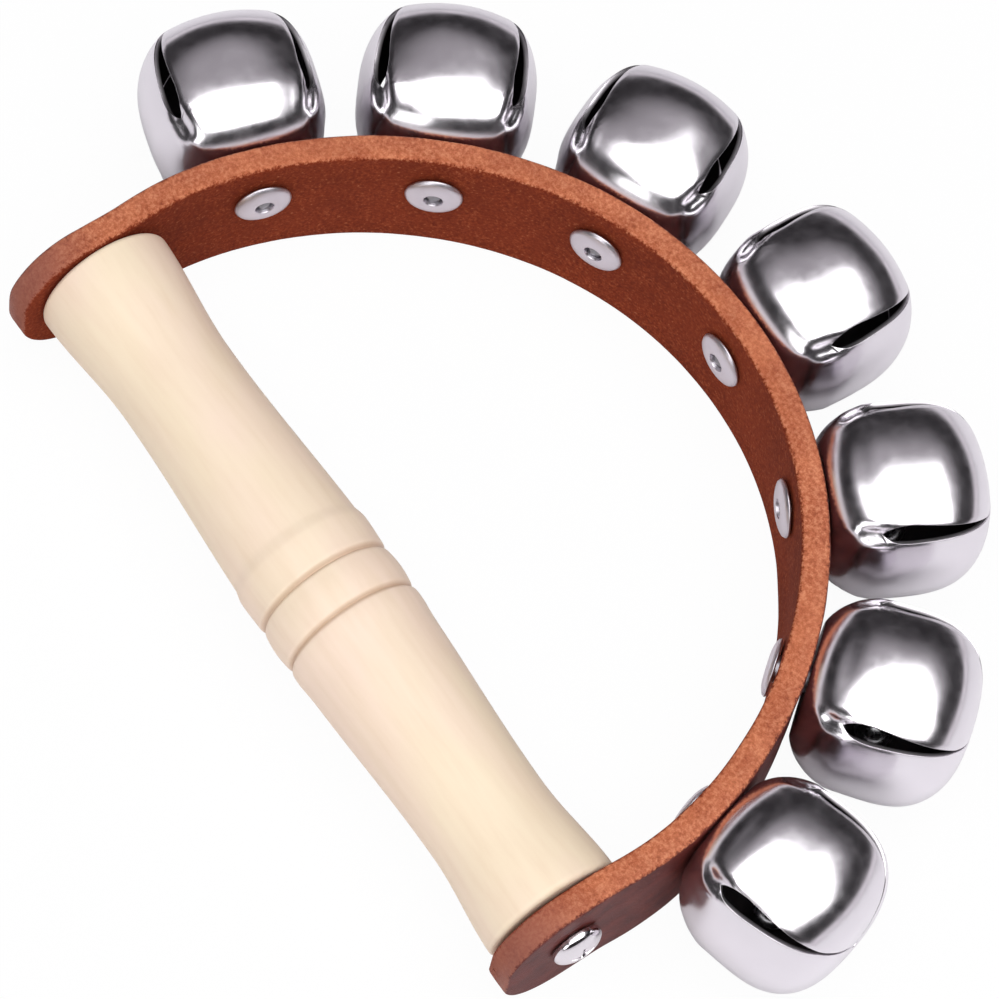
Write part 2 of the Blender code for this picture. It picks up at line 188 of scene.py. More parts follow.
def addBump(tree, height, strength, distance, shader, under=None):
    inputs = {"Height": height, "Strength": strength, "Distance": distance}
    if under is not None:
        inputs["Normal"] = under
    node = addNode(tree, "ShaderNodeBump", inputs)
    tree.links.new(node.outputs["Normal"], shader.inputs["Normal"])
    return node.outputs["Normal"]


def attribute(tree, name):
    return addNode(tree, "ShaderNodeAttribute", attribute_name=name).outputs["Fac"]


def makePaleWood():
    made, tree, shader = newMaterial("paleWood")
    grain = noiseField(tree, objectPlace(tree, (1, 9, 9)), 60.0, 5.0)
    broad = noiseField(tree, objectPlace(tree, (1, 2, 2)), 32.0, 2.0)
    tone = colourRamp(tree, grain, ((0.28, (0.80, 0.63, 0.46)), (0.72, (0.89, 0.745, 0.58))))
    patches = colourRamp(tree, broad, ((0.38, (0.87, 0.735, 0.54)), (0.62, (0.885, 0.70, 0.575))))
    colour = blendColours(tree, spread(tree, grain, 0.3, 0.7, 0.45, 0.75), tone, patches)
    # painted shade: darker brown blended in along the handle's cut grooves
    colour = blendColours(tree, spread(tree, attribute(tree, "grooveShade"), 0.1, 1.0, 0.0, 0.62),
                          colour, (0.42, 0.25, 0.15))
    tree.links.new(colour, shader.inputs["Base Color"])
    tree.links.new(spread(tree, grain, 0.3, 0.7, 0.42, 0.55), shader.inputs["Roughness"])
    shader.inputs["Specular IOR Level"].default_value = 0.35
    pores = noiseField(tree, objectPlace(tree, (1, 14, 14)), 260.0, 3.0)
    addBump(tree, pores, 0.05, 0.0002, shader)
    return made


def makeLeather():
    # raw cut edges, a fuzzy flesh side within and a smooth dyed grain side without
    made, tree, shader = newMaterial("brownLeather")
    place = objectPlace(tree)
    fibre = noiseField(tree, place, 1900.0, 4.0, 0.7)
    patch = noiseField(tree, place, 260.0, 5.0)
    cloud = noiseField(tree, place, 38.0, 3.0)
    edgeTone = colourRamp(tree, fibre, ((0.32, (0.19, 0.042, 0.020)), (0.48, (0.47, 0.132, 0.062)),
                                        (0.64, (0.72, 0.31, 0.17))))
    edgePatch = colourRamp(tree, patch, ((0.32, (0.34, 0.085, 0.040)), (0.66, (0.56, 0.18, 0.085))))
    edgeTone = blendColours(tree, spread(tree, cloud, 0.3, 0.7, 0.35, 0.65), edgeTone, edgePatch)
    edgeTone = blendColours(tree, spread(tree, attribute(tree, "tipShade"), 0.0, 1.0, 0.0, 0.75),
                            edgeTone, (0.24, 0.085, 0.065))
    fleshTone = colourRamp(tree, fibre, ((0.32, (0.11, 0.014, 0.005)), (0.50, (0.25, 0.039, 0.012)),
                                         (0.68, (0.42, 0.098, 0.036))))
    darker = colourRamp(tree, cloud, ((0.30, (0.12, 0.015, 0.005)), (0.70, (0.24, 0.037, 0.011))))
    flesh = blendColours(tree, spread(tree, patch, 0.35, 0.65, 0.3, 0.65), fleshTone, darker)
    grainTone = colourRamp(tree, patch, ((0.30, (0.085, 0.016, 0.014)), (0.72, (0.17, 0.034, 0.026))))
    outside = attribute(tree, "grainSide")
    faces = blendColours(tree, outside, flesh, grainTone)
    ragged = maths(tree, "ADD", attribute(tree, "cutEdge"), spread(tree, fibre, 0.3, 0.7, -0.4, 0.4))
    edge = spread(tree, ragged, 0.22, 0.66, 0.0, 1.0)
    tree.links.new(blendColours(tree, edge, faces, edgeTone), shader.inputs["Base Color"])
    tree.links.new(spread(tree, outside, 0.0, 1.0, 0.95, 0.50), shader.inputs["Roughness"])
    shader.inputs["Specular IOR Level"].default_value = 0.16
    coarse = addBump(tree, patch, 0.25, 0.0004, shader)
    addBump(tree, fibre, 0.6, 0.0002, shader, coarse)
    return made


def makeMetal(name, colour, roughness, wear, ripple, paintedShadeInside=False):
    made, tree, shader = newMaterial(name)
    place = objectPlace(tree)
    shader.inputs["Metallic"].default_value = 1.0
    cloud = noiseField(tree, place, 70.0, 3.0)
    tint = colourRamp(tree, cloud, ((0.3, tuple(0.94 * part for part in colour)), (0.7, colour)))
    fine = noiseField(tree, place, 520.0, 5.0)
    gloss = spread(tree, fine, 0.3, 0.7, roughness, roughness + wear)
    # painted shade: the bells' inner skin is blended towards near black and made rougher, for the shade inside the
    # bells
    if paintedShadeInside:
        insideShadeMask = attribute(tree, "insideShadePainted")
        tint = blendColours(tree, insideShadeMask, tint, (0.07, 0.06, 0.065))
        gloss = maths(tree, "ADD", gloss, spread(tree, insideShadeMask, 0.0, 1.0, 0.0, 0.45))
    tree.links.new(tint, shader.inputs["Base Color"])
    tree.links.new(gloss, shader.inputs["Roughness"])
    addBump(tree, noiseField(tree, place, 330.0, 2.0), ripple, 0.0002, shader)
    return made


# Row of bells, rivets and pellets: their places come from the pellets' hinges

row = {
    "bellBase": 11.9 * millimetre,      # from a bell's centre down to its base
    "strapThickness": 4.3 * millimetre,
}
baseToStrap = row["bellBase"] + touchGap + row["strapThickness"] / 2
hinges = frame["joints"]
bellCentres = [Vector(hinge["pos_m"]) for hinge in hinges]
outwards = [Vector(hinge["axis"]).normalized() for hinge in hinges]
mainBody = hinges[0]["parent"]


def makeRowPoints():
    mesh = bpy.data.meshes.new("rowPoints")
    points = [centre - outward * baseToStrap for centre, outward in zip(bellCentres, outwards)]
    mesh.from_pydata(points, [], [])
    direction = mesh.attributes.new("outward", "FLOAT_VECTOR", "POINT")
    direction.data.foreach_set("vector", [part for outward in outwards for part in outward])
    return mesh


def makeRowTree():
    # puts a copy of one item on the picked point of the row, facing out of the strap
    tree = bpy.data.node_groups.new("fitOnRow", "GeometryNodeTree")
    face = tree.interface
    face.new_socket("Geometry", in_out="INPUT", socket_type="NodeSocketGeometry")
    for name, kind in (("Item", "Object"), ("Finish", "Material"), ("Pick", "Int"),
                       ("Outward Shift", "Float"), ("Lift", "Float"), ("Twist", "Float")):
        face.new_socket(name, in_out="INPUT", socket_type="NodeSocket" + kind)
    face.new_socket("Geometry", in_out="OUTPUT", socket_type="NodeSocketGeometry")
    given = addNode(tree, "NodeGroupInput").outputs
    outward = addNode(tree, "GeometryNodeInputNamedAttribute", {"Name": "outward"},
                      data_type="FLOAT_VECTOR").outputs["Attribute"]
    out = addNode(tree, "ShaderNodeVectorMath", {0: outward, "Scale": given["Outward Shift"]},
                  operation="SCALE").outputs[0]
    lift = addNode(tree, "ShaderNodeCombineXYZ", {"Z": given["Lift"]}).outputs[0]
    shift = addNode(tree, "ShaderNodeVectorMath", {0: out, 1: lift}, operation="ADD").outputs[0]
    placed = addNode(tree, "GeometryNodeSetPosition",
                     {"Geometry": given["Geometry"], "Offset": shift}).outputs[0]
    index = addNode(tree, "GeometryNodeInputIndex").outputs[0]
    picked = addNode(tree, "FunctionNodeCompare", data_type="INT", operation="EQUAL")
    tree.links.new(index, picked.inputs[2])
    tree.links.new(given["Pick"], picked.inputs[3])
    facing = addNode(tree, "FunctionNodeAxesToRotation", {0: outward, 1: (0.0, 0.0, 1.0)},
                     primary_axis="Z", secondary_axis="Y").outputs[0]
    spin = addNode(tree, "FunctionNodeAxisAngleToRotation",
                   {"Axis": (0.0, 0.0, 1.0), "Angle": given["Twist"]}).outputs[0]
    turn = addNode(tree, "FunctionNodeRotateRotation", {0: facing, 1: spin},
                   rotation_space="LOCAL").outputs[0]
    item = addNode(tree, "GeometryNodeObjectInfo", {"Object": given["Item"]}).outputs["Geometry"]
    copies = addNode(tree, "GeometryNodeInstanceOnPoints",
                     {"Points": placed, "Selection": picked.outputs[0], "Instance": item,
                      "Rotation": turn}).outputs[0]
    real = addNode(tree, "GeometryNodeRealizeInstances", {"Geometry": copies}).outputs[0]
    dressed = addNode(tree, "GeometryNodeSetMaterial",
                      {"Geometry": real, "Material": given["Finish"]}).outputs[0]
    tree.links.new(dressed, addNode(tree, "NodeGroupOutput").inputs[0])
    return tree


rowPoints = makeRowPoints()
rowTree = makeRowTree()


def fitOnRow(name, itemMesh, finish, index, outwardShift=0.0, lift=0.0, twist=0.0):
    item = linkObject(name + "Item", itemMesh)
    made = linkObject(name, rowPoints.copy())
    step = made.modifiers.new("fitOnRow", "NODES")
    step.node_group = rowTree
    values = {"Item": item, "Finish": finish, "Pick": index, "Outward Shift": outwardShift,
              "Lift": lift, "Twist": twist}
    for socket in rowTree.interface.items_tree:
        if socket.in_out == "INPUT" and socket.name in values:
            step[socket.identifier] = values[socket.name]
    graph = bpy.context.evaluated_depsgraph_get()
    mesh = bpy.data.meshes.new_from_object(made.evaluated_get(graph))
    made.modifiers.clear()
    made.data = mesh
    bpy.data.objects.remove(item)
    return made


# Bells

bell = {
    "halfWidth": 13.75 * millimetre,
    "halfHeight": 13.28 * millimetre,
    "wall": 0.8 * millimetre,
    "cornerReach": 1.135,               # diagonal over half width
    "barrel": 2.85,
    "holeRadius": 2.4 * millimetre,
    "tipRadius": 0.7 * millimetre,
    "slitStart": 6.6 * millimetre,
    "slitWidth": 3.1 * millimetre,
    "slitEndWidth": 0.45 * millimetre,
    "slitWidestAt": 0.24,
    "slitNarrowsAt": 0.88,
    "foldDepth": 1.0 * millimetre,
    "foldWidth": 0.95 * millimetre,
    "waistDepth": 0.25 * millimetre,
    "wobble": 0.10 * millimetre,
    "rimBevel": 0.12 * millimetre,
    "columns": 26,
    "rows": 62,
    "twistsDegrees": (0.0, 0.0, 0.0, 0.0, 0.0, 0.0, 0.0),
}


def bellOutline():
    # evenly spaced (radius, height) points from the rivet hole up to the petals' tips
    power = 2 / bell["barrel"]
    share = row["bellBase"] / bell["halfHeight"]
    start = -math.asin(share ** (bell["barrel"] / 2))
    end = math.acos((bell["tipRadius"] / bell["halfWidth"]) ** (bell["barrel"] / 2))
    dense = [(bell["holeRadius"], 0.0)]
    steps = 3000
    for index in range(steps + 1):
        angle = start + (end - start) * index / steps
        across = bell["halfWidth"] * abs(math.cos(angle)) ** power
        rise = math.copysign(abs(math.sin(angle)) ** power, angle)
        dense.append((across, row["bellBase"] + bell["halfHeight"] * rise))
    lengths = [0.0]
    for (r0, h0), (r1, h1) in zip(dense, dense[1:]):
        lengths.append(lengths[-1] + math.hypot(r1 - r0, h1 - h0))
    points, at = [], 0
    for index in range(bell["rows"]):
        want = lengths[-1] * index / (bell["rows"] - 1)
        while at < len(lengths) - 2 and lengths[at + 1] < want:
            at += 1
        part = (want - lengths[at]) / max(1e-12, lengths[at + 1] - lengths[at])
        (r0, h0), (r1, h1) = dense[at], dense[at + 1]
        points.append((r0 + (r1 - r0) * part, h0 + (h1 - h0) * part))
    return points


def squared(angle, across):
    # stretch of a circle towards four shallow arcs that meet on the diagonals
    share = min(1.0, across / bell["halfWidth"])
    corner = 1 + (bell["cornerReach"] - 1) * share
    side = corner / math.sqrt(2)
    sagitta = 1 - side
    arc = (side * side + sagitta * sagitta) / (2 * sagitta)
    turned = ((angle + math.pi / 4) % (math.pi / 2)) - math.pi / 4
    centre = 1 - arc
    along = centre * math.cos(turned)
    return along + math.sqrt(max(0.0, along * along - centre * centre + arc * arc))


def slitHalfWidth(height, across):
    top = row["bellBase"] + bell["halfHeight"]
    if height <= bell["slitStart"]:
        return 0.0
    share = (height - bell["slitStart"]) / (top - bell["slitStart"])
    peak = bell["slitWidestAt"]
    if share < peak:
        swell = math.sqrt(max(0.0, 1 - ((peak - share) / peak) ** 2))
    else:
        swell = max(0.0, 1 - (share - peak) / (bell["slitNarrowsAt"] - peak)) ** 0.75
    narrow = bell["slitEndWidth"] * min(1.0, across / (4 * bell["tipRadius"]))
    return (narrow * smoothStep(0.0, 0.1, share) + (bell["slitWidth"] - narrow) * swell) / 2


def dent(angle, radius, height, seed):
    # how far the skin sinks: the pinched fold under a slit, the waist and slow hammer waves
    corner = ((angle + math.pi / 2) % (math.pi / 2)) - math.pi / 4
    distance = abs(corner) * radius
    foldHeight = smoothStep(2.2, 4.6, height / millimetre) * (1 - smoothStep(6.5, 10.0, height / millimetre))
    fold = bell["foldDepth"] * foldHeight * (hump(distance, bell["foldWidth"])
                                             - 0.22 * hump(distance - 2.2 * bell["foldWidth"], bell["foldWidth"]))
    middle = 1 - smoothStep(0.0, 0.8, 1 - abs(corner) / (math.pi / 4))
    waist = bell["waistDepth"] * hump(height - row["bellBase"] * 0.4, 1.5 * millimetre) * (0.4 + 0.6 * middle)
    crumple = Vector((corner * radius, height, 3.7 * seed + round(angle * 2 / math.pi))) / (1.1 * millimetre)
    fold += 0.22 * millimetre * foldHeight * hump(distance, 2.2 * millimetre) * noise.noise(crumple)
    spot = Vector((math.cos(angle) * radius, math.sin(angle) * radius, height)) / (7 * millimetre)
    wave = bell["wobble"] * noise.noise(spot + Vector((11.3 * seed, 4.1 * seed, 0.0)))
    return fold + waist + wave * smoothStep(0.0, 4.0, height / millimetre)


def bellSkin(seed):
    shape = bmesh.new()
    grid = []
    columns = bell["columns"]
    for across, height in bellOutline():
        gap = slitHalfWidth(height, across)
        ring = []
        for petal in range(4):
            diagonal = across * squared(math.pi / 4, across)
            edge = math.pi / 4 - math.asin(min(0.6, gap / diagonal))
            for column in range(columns + 1):
                if column == columns and gap == 0.0:
                    ring.append(None)
                    continue
                turned = edge * (2 * column / columns - 1)
                angle = petal * math.pi / 2 + turned
                radius = across * squared(angle, across)
                radius -= dent(angle, radius, height, seed) * smoothStep(4.0, 8.0, across / millimetre)
                ring.append(shape.verts.new((radius * math.cos(angle), radius * math.sin(angle), height)))
        count = len(ring)
        grid.append([ring[(i + 1) % count] if vertex is None else vertex for i, vertex in enumerate(ring)])
    for lower, upper in zip(grid, grid[1:]):
        for petal in range(4):
            for column in range(columns):
                a = petal * (columns + 1) + column
                shape.faces.new((lower[a], lower[a + 1], upper[a + 1], upper[a]))
    return finishMesh("bellSkin", shape, 60.0)


def makeBells(finish):
    for index, twist in enumerate(bell["twistsDegrees"]):
        blank = linkObject("bellBlank", bellSkin(index + 1))
        wall = blank.modifiers.new("wall", "SOLIDIFY")
        wall.thickness = bell["wall"]
        wall.offset = -1.0
        wall.use_even_offset = True
        outerCount = len(blank.data.vertices)
        settle(blank, finish)
        # the wall's inner skin follows the outer one in the vertex list
        # marks the inner skin, where the painted shade inside the bell goes
        inner = blank.data.attributes.new("insideShadePainted", "FLOAT", "POINT")
        inner.data.foreach_set("value", [float(i >= outerCount) for i in range(len(blank.data.vertices))])
        rim = blank.modifiers.new("rim", "BEVEL")
        rim.width = bell["rimBevel"]
        rim.segments = 2
        rim.limit_method = "ANGLE"
        rim.angle_limit = math.radians(60)
        settle(blank, finish)
        made = fitOnRow(f"brightBell{index + 1}", blank.data, finish, index,
                        baseToStrap - row["bellBase"], 0.0, math.radians(twist))
        bpy.data.objects.remove(blank)
        standFor(made, f"bell_{index + 1}", mainBody)


# Pellets

pellet = {
    "radius": 3.0 * millimetre,
    "segments": 40,
    "rings": 24,
}


def makePellets(finish):
    orbit = bell["halfWidth"] - bell["wall"] - pellet["radius"] - touchGap
    for index, hinge in enumerate(hinges):
        shape = bmesh.new()
        bmesh.ops.create_uvsphere(shape, u_segments=pellet["segments"], v_segments=pellet["rings"],
                                  radius=pellet["radius"])
        made = fitOnRow(f"steelPellet{index + 1}", finishMesh("pelletBall", shape, 60.0), finish, index,
                        baseToStrap, -orbit)
        standFor(made, f"pellet_{index + 1}", hinge["child"])


# Rivets and their pins

rivet = {
    "flangeRadius": 4.5 * millimetre,
    "flangeThickness": 1.2 * millimetre,
    "rimThickness": 0.45 * millimetre,
    "shankRadius": 2.1 * millimetre,
    "boreRadius": 1.45 * millimetre,
    "bulbRadius": 2.9 * millimetre,
    "bulbHeight": 2.2 * millimetre,
    "pinRadius": 1.1 * millimetre,
    "pinRecess": 0.35 * millimetre,
    "pinHeadRadius": 2.0 * millimetre,
    "pinHeadHeight": 1.4 * millimetre,
    "segments": 56,
}


def rivetMesh(under, seat):
    face = under - rivet["flangeThickness"]
    bore, flange = rivet["boreRadius"], rivet["flangeRadius"]
    lip = 0.25 * millimetre
    profile = [(bore, face + lip), (bore + 0.3 * lip, face + 0.3 * lip), (bore + lip, face)]
    doming = 8
    for index in range(1, doming + 1):
        share = index / doming
        radius = bore + lip + (flange - bore - 2 * lip) * share
        profile.append((radius, face + (rivet["flangeThickness"] - rivet["rimThickness"]) * share ** 2.4 * 0.75))
    rim = under - rivet["rimThickness"] / 2
    for index in range(6):
        angle = -math.pi / 3 + index * (math.pi / 3 + math.pi / 2) / 5
        profile.append((flange - lip + lip * math.cos(angle), rim + rivet["rimThickness"] / 2 * math.sin(angle)))
    shank, bulb = rivet["shankRadius"], rivet["bulbRadius"]
    blind = seat + rivet["bulbHeight"]
    profile += [(shank, under), (shank, seat)]
    for index in range(7):
        angle = -math.pi / 2 + index * math.pi / 6
        profile.append((shank + (bulb - shank) * math.cos(angle),
                        seat + rivet["bulbHeight"] * (0.5 + 0.5 * math.sin(angle))))
    profile.append((bore, blind))
    return latheMesh("rivetTube", profile, rivet["segments"], ring=True)


def pinMesh(under, seat):
    start = under - rivet["flangeThickness"] + rivet["pinRecess"]
    head = seat + rivet["bulbHeight"] + touchGap
    radius, cap = rivet["pinRadius"], rivet["pinHeadRadius"]
    profile = [(0.0, start), (radius * 0.55, start + 0.05 * millimetre),
               (radius * 0.9, start + 0.2 * millimetre), (radius, start + 0.45 * millimetre),
               (radius, head), (cap, head)]
    for index in range(6):
        angle = index * math.pi / 10
        profile.append((cap * math.cos(angle), head + 0.4 * millimetre
                        + (rivet["pinHeadHeight"] - 0.4 * millimetre) * math.sin(angle)))
    mesh = latheMesh("pinRod", profile, rivet["segments"] // 2)
    for vertex in mesh.vertices:
        # the broken end of the pin is uneven
        if vertex.co.z < start + 0.3 * millimetre:
            vertex.co.z += 0.18 * millimetre * noise.noise(vertex.co / (0.8 * millimetre))
    return mesh


def makeRivets(rivetFinish, pinFinish):
    # the flange bridges the curve of the strap's inner face
    under = -row["strapThickness"] / 2 - touchGap - rivet["flangeRadius"] ** 2 / (2 * crownInside)
    seat = row["strapThickness"] / 2 + touchGap + bell["wall"] + touchGap
    for index in range(len(hinges)):
        made = fitOnRow(f"satinRivet{index + 1}", rivetMesh(under, seat), rivetFinish, index)
        standFor(made, f"rivet_{index + 1}", mainBody)
        made = fitOnRow(f"pinRod{index + 1}", pinMesh(under, seat), pinFinish, index)
        standFor(made, f"rivet_pin_{index + 1}", mainBody)


# Strap: three arcs on each side of the crown, a small return arc and a straight tongue

strap = {
    "width": 24.0 * millimetre,
    "thickness": row["strapThickness"],
    "crownDegrees": 35.0,
    "shoulderRadius": 67.1 * millimetre,
    "shoulderEndDegrees": 76.0,
    "sideRadius": 55.3 * millimetre,
    "leanDegrees": 4.0,
    "returnRadius": 50.0 * millimetre,
    "seatRun": 4.0 * millimetre,
    "tongue": 12.8 * millimetre,
    "tongueCorner": 11.2 * millimetre,
    "edgeRounding": 0.7 * millimetre,
    "stationStep": 0.9 * millimetre,
    "acrossSteps": 22,
    "edgeSteps": 5,
    "cornerSteps": 4,
    "roughEdge": 0.16 * millimetre,
    "holeRadius": 2.4 * millimetre,
    "screwHoleRadius": 2.2 * millimetre,
}

handle = {
    "length": 120.0 * millimetre,
    "slantDegrees": 1.0,
    "endRadius": 10.9 * millimetre,
    "endRounding": 1.0 * millimetre,
    "leftWaist": (-39.0 * millimetre, 9.4 * millimetre),
    "rightWaist": (43.0 * millimetre, 9.6 * millimetre),
    "bellyRadius": 10.8 * millimetre,
    "stepPlace": -6.2 * millimetre,
    "beadHeight": 0.38 * millimetre,
    "grooves": (0.6 * millimetre, 7.9 * millimetre),
    "grooveDepth": 0.55 * millimetre,
    "grooveHalfWidth": 0.42 * millimetre,
    "segments": 112,
    "step": 0.25 * millimetre,
}

screw = {
    "headRadius": 4.1 * millimetre,
    "headHeight": 2.4 * millimetre,
    "rim": 0.5 * millimetre,
    "shankRadius": 1.9 * millimetre,
    "depth": 20.0 * millimetre,
    "point": 4.0 * millimetre,
    "recessLength": 4.8 * millimetre,
    "recessWidth": 1.0 * millimetre,
    "recessDepth": 1.3 * millimetre,
    "segments": 64,
}

slant = math.radians(handle["slantDegrees"])
legOffset = (handle["length"] / 2 + touchGap + handle["endRadius"] * math.sin(slant)
             + strap["thickness"] / 2)
crownAngle = math.radians(strap["crownDegrees"])
shoulderEnd = math.radians(strap["shoulderEndDegrees"])
lean = math.radians(strap["leanDegrees"])
sideEnd = math.pi / 2 + lean
crownRadius = (legOffset
               - strap["shoulderRadius"] * (math.sin(shoulderEnd) - math.sin(crownAngle))
               - strap["sideRadius"] * (math.sin(sideEnd) - math.sin(shoulderEnd))
               + strap["returnRadius"] * (1 - math.cos(lean))) / math.sin(crownAngle)
crownInside = crownRadius - strap["thickness"] / 2
strapArcs = (
    (crownRadius * crownAngle, crownRadius),
    (strap["shoulderRadius"] * (shoulderEnd - crownAngle), strap["shoulderRadius"]),
    (strap["sideRadius"] * (sideEnd - shoulderEnd), strap["sideRadius"]),
    (strap["returnRadius"] * lean, -strap["returnRadius"]),
    (strap["seatRun"] + strap["tongue"], None),
)
strapHalfLength = sum(length for length, _ in strapArcs)
strapLow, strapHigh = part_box("strap")
strapMiddle = Vector(((strapLow.x + strapHigh.x) / 2, strapHigh.y - strap["thickness"] / 2,
                      (strapLow.z + strapHigh.z) / 2))


def onStrap(distance):
    # point and heading on the centre line, measured from the crown
    side = math.copysign(1.0, distance)
    left = abs(distance)
    x, y, heading = 0.0, 0.0, 0.0
    for length, radius in strapArcs:
        step = min(left, length)
        if radius is None:
            x += step * math.cos(heading)
            y -= step * math.sin(heading)
        else:
            turned = heading + step / radius
            x += radius * (math.sin(turned) - math.sin(heading))
            y += radius * (math.cos(turned) - math.cos(heading))
            heading = turned
        left -= step
        if left <= 0:
            break
    return strapMiddle + Vector((side * x, y, 0.0)), side * heading


def strapHalfWidth(fromTip):
    corner = strap["tongueCorner"]
    if fromTip >= corner:
        return strap["width"] / 2
    return strap["width"] / 2 - corner + math.sqrt(max(0.0, corner ** 2 - (corner - fromTip) ** 2))


def strapStations():
    # (distance, inset) pairs: the last ones draw in to round the tongue's tip
    cornerSteps, roundSteps = 18, 5
    rounding = strap["edgeRounding"]
    bodyEnd = strapHalfLength - strap["tongueCorner"]
    count = math.ceil(bodyEnd / strap["stationStep"])
    half = [(bodyEnd * index / count, 0.0) for index in range(count + 1)]
    tipStart = strapHalfLength - rounding
    for index in range(1, cornerSteps + 1):
        half.append((bodyEnd + (tipStart - bodyEnd) * math.sin(index / cornerSteps * math.pi / 2), 0.0))
    for index in range(1, roundSteps + 1):
        angle = index / roundSteps * math.pi / 2
        half.append((tipStart + rounding * math.sin(angle), rounding * (1 - math.cos(angle))))
    return [(-distance, inset) for distance, inset in reversed(half[1:])] + half


def strapSection(half, face):
    # (depth, height, edge share) round a rounded oblong, from the inner face's foot
    rounding = min(strap["edgeRounding"], 0.9 * half, 0.9 * face)
    points = []
    spans = (
        ((-face, rounding - half), (-face, half - rounding), strap["acrossSteps"], 0.0),
        ((rounding - face, half), (face - rounding, half), strap["edgeSteps"], 1.0),
        ((face, half - rounding), (face, rounding - half), strap["acrossSteps"], 0.0),
        ((face - rounding, -half), (rounding - face, -half), strap["edgeSteps"], 1.0),
    )
    corners = ((rounding - face, half - rounding, math.pi), (face - rounding, half - rounding, math.pi / 2),
               (face - rounding, rounding - half, 0.0), (rounding - face, rounding - half, -math.pi / 2))
    for (start, end, steps, share), (x, y, startAngle) in zip(spans, corners):
        for index in range(steps + 1):
            part = index / steps
            points.append((start[0] + (end[0] - start[0]) * part, start[1] + (end[1] - start[1]) * part, share))
        for index in range(1, strap["cornerSteps"]):
            part = index / strap["cornerSteps"]
            angle = startAngle - part * math.pi / 2
            points.append((x + rounding * math.cos(angle), y + rounding * math.sin(angle),
                           part if share == 0.0 else 1 - part))
    return points


def strapHoles():
    cutter = bmesh.new()
    reach = 2 * strap["thickness"]
    for centre, outward in zip(bellCentres, outwards):
        turn = outward.to_track_quat("Z", "Y").to_matrix().to_4x4()
        place = Matrix.Translation(centre - outward * baseToStrap) @ turn
        bmesh.ops.create_cone(cutter, cap_ends=True, segments=32, radius1=strap["holeRadius"],
                              radius2=strap["holeRadius"], depth=reach, matrix=place)
    for side in (-1, 1):
        place = handleTurn(side) @ Matrix.Translation((0.0, 0.0, legOffset))
        bmesh.ops.create_cone(cutter, cap_ends=True, segments=32, radius1=strap["screwHoleRadius"],
                              radius2=strap["screwHoleRadius"], depth=reach, matrix=place)
    return finishMesh("strapHoles", cutter)


def makeStrap(finish):
    shape = bmesh.new()
    edgeLayer = shape.verts.layers.float.new("cutEdge")
    grainLayer = shape.verts.layers.float.new("grainSide")
    tipLayer = shape.verts.layers.float.new("tipShade")
    rings = []
    for distance, inset in strapStations():
        middle, heading = onStrap(distance)
        out = Vector((math.sin(heading), math.cos(heading), 0.0))
        fromTip = strapHalfLength - abs(distance)
        half = strapHalfWidth(fromTip) - inset
        face = strap["thickness"] / 2 - inset
        ring = []
        for depth, height, share in strapSection(half, face):
            tip = 1 - smoothStep(0.0, strap["edgeRounding"], fromTip)
            share = max(share, tip)
            point = middle + out * depth + Vector((0.0, 0.0, height))
            rough = strap["roughEdge"] * share * noise.noise(point / (0.9 * millimetre))
            rough += 0.12 * millimetre * noise.noise(point / (7 * millimetre))
            outline = Vector((0.0, 0.0, math.copysign(1.0, height))) if share > 0 else out * math.copysign(1.0, depth)
            vertex = shape.verts.new(point + outline * rough)
            vertex[edgeLayer] = share
            vertex[grainLayer] = smoothStep(-0.3, 0.3, depth / strap["thickness"])
            vertex[tipLayer] = 1 - smoothStep(3.0, 16.0, fromTip / millimetre)
            ring.append(vertex)
        rings.append(ring)
    for ring, following in zip(rings, rings[1:]):
        for index in range(len(ring)):
            after = (index + 1) % len(ring)
            shape.faces.new((ring[index], ring[after], following[after], following[index]))
    shape.faces.new(rings[0])
    shape.faces.new(list(reversed(rings[-1])))
    made = linkObject("leatherStrap", finishMesh("leatherStrap", shape, 60.0))
    holes = linkObject("strapHoles", strapHoles())
    cut = made.modifiers.new("holes", "BOOLEAN")
    cut.operation = "DIFFERENCE"
    cut.solver = "EXACT"
    cut.object = holes
    settle(made, finish)
    bpy.data.objects.remove(holes)
    standFor(made, "strap", mainBody)


# Handle and screws, on the handle's own axis

handleLow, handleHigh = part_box("handle")
handleMiddle = (handleLow + handleHigh) / 2


def handleTurn(side):
    # Z runs out of the handle's end on the given side
    turn = Matrix.Rotation(-slant, 4, "Z") @ Matrix.Rotation(side * math.pi / 2, 4, "Y")
    return Matrix.Translation(handleMiddle) @ turn


def eased(start, end, share):
    return start + (end - start) * (1 - math.cos(math.pi * share)) / 2


def handleRadius(x):
    half = handle["length"] / 2
    first, second = handle["grooves"]
    stations = ((-half, handle["endRadius"]), handle["leftWaist"], (first, handle["bellyRadius"]),
                (second, handle["bellyRadius"]), handle["rightWaist"], (half, handle["endRadius"]))
    radius = handle["endRadius"]
    for (x0, r0), (x1, r1) in zip(stations, stations[1:]):
        if x <= x1:
            radius = eased(r0, r1, (x - x0) / (x1 - x0))
            break
    step, bead = handle["stepPlace"], handle["beadHeight"]
    if x < first:
        radius += bead * smoothStep(step - 1.2 * millimetre, step + 1.2 * millimetre, x)
        radius -= 0.6 * bead * smoothStep(step + 1.2 * millimetre, first, x)
    elif x < second:
        radius += bead * math.sin(math.pi * (x - first) / (second - first))
    else:
        radius += 0.6 * bead * hump(x - second - 2 * millimetre, 2.5 * millimetre)
    for groove in handle["grooves"]:
        radius -= handle["grooveDepth"] * hump(x - groove, handle["grooveHalfWidth"])
    return radius


